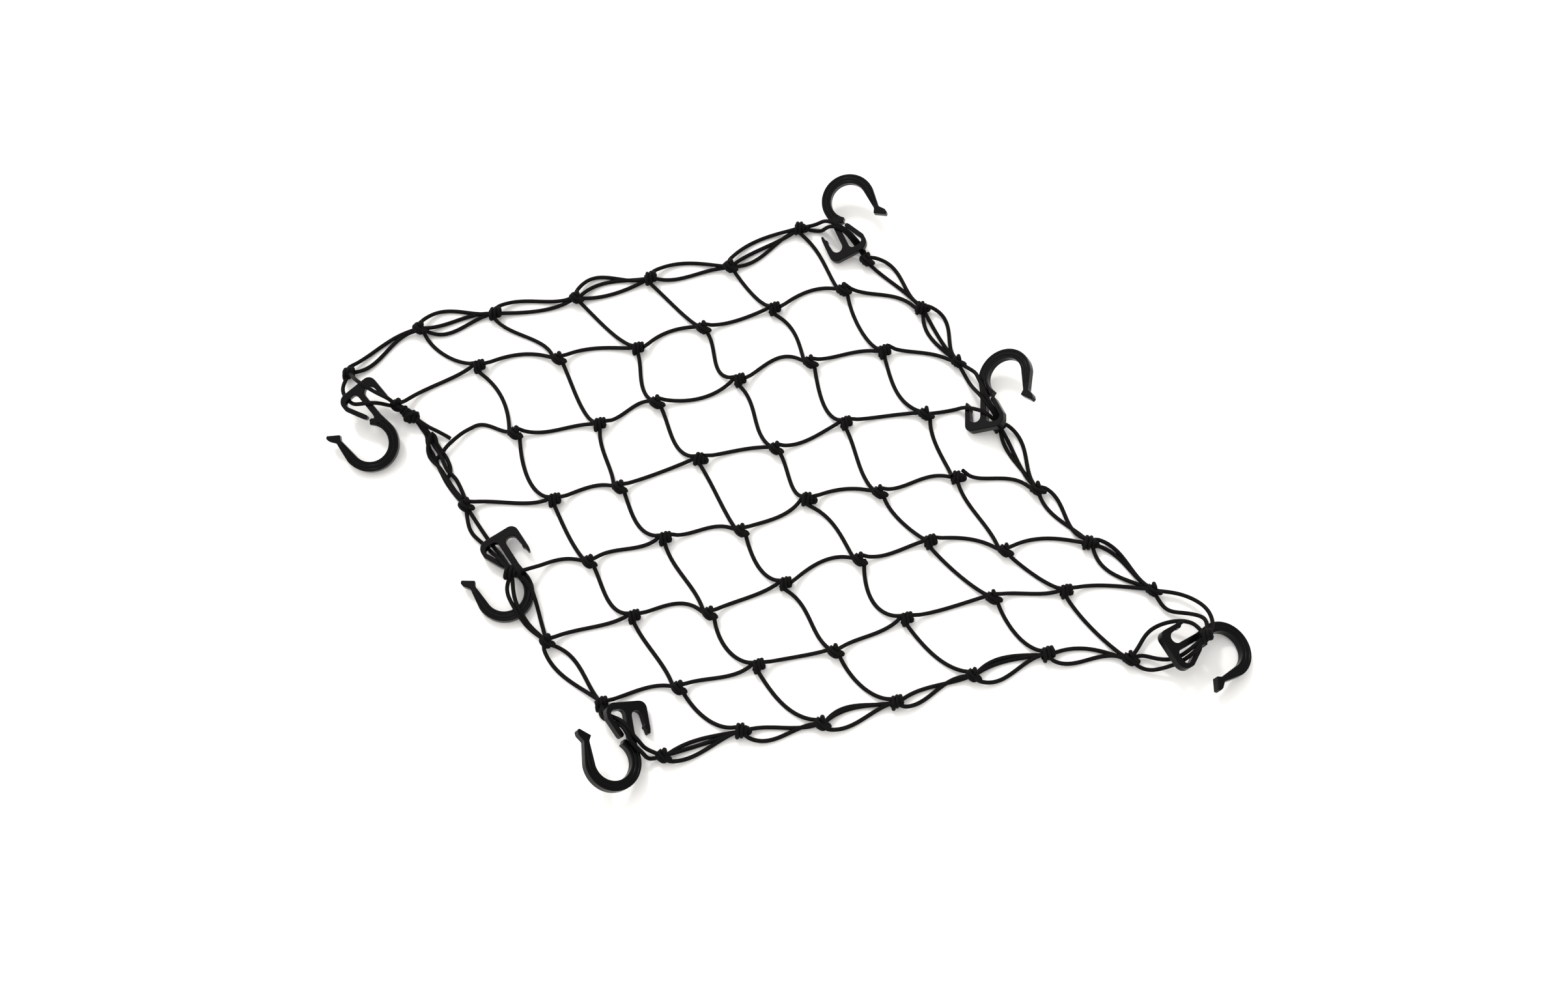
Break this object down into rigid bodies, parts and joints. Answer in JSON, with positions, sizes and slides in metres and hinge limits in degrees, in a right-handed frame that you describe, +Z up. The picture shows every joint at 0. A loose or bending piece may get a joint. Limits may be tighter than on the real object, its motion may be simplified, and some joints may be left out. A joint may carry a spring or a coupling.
{
  "type": "cargo net",
  "caption": "Square-mesh elastic cord cargo net with a doubled border and clip-on J hooks, lying loose and askew.",
  "frame": {"origin": "centre of the bounding box in plan, on the surface the net lies on", "axes": "+X along the runs of knots, from the left border to the right border; +Y from the near border to the far border; +Z up"},
  "size_m": [0.5482, 0.4144, 0.0312],
  "materials": {
    "elastic": "black braided cover over an elastic core, slight sheen",
    "plastic": "black moulded plastic, satin"
  },
  "bodies": {
    "root": {"net_run_1": "elastic", "net_run_2": "elastic", "net_run_3": "elastic", "net_run_4": "elastic", "net_run_5": "elastic", "net_run_6": "elastic", "border_far": "elastic", "border_right": "elastic", "border_near": "elastic", "border_left": "elastic", "cord_tail": "elastic", "hook_1": "plastic", "hook_2": "plastic", "hook_3": "plastic", "hook_4": "plastic", "hook_5": "plastic", "hook_6": "plastic"}
  },
  "joints": []
}
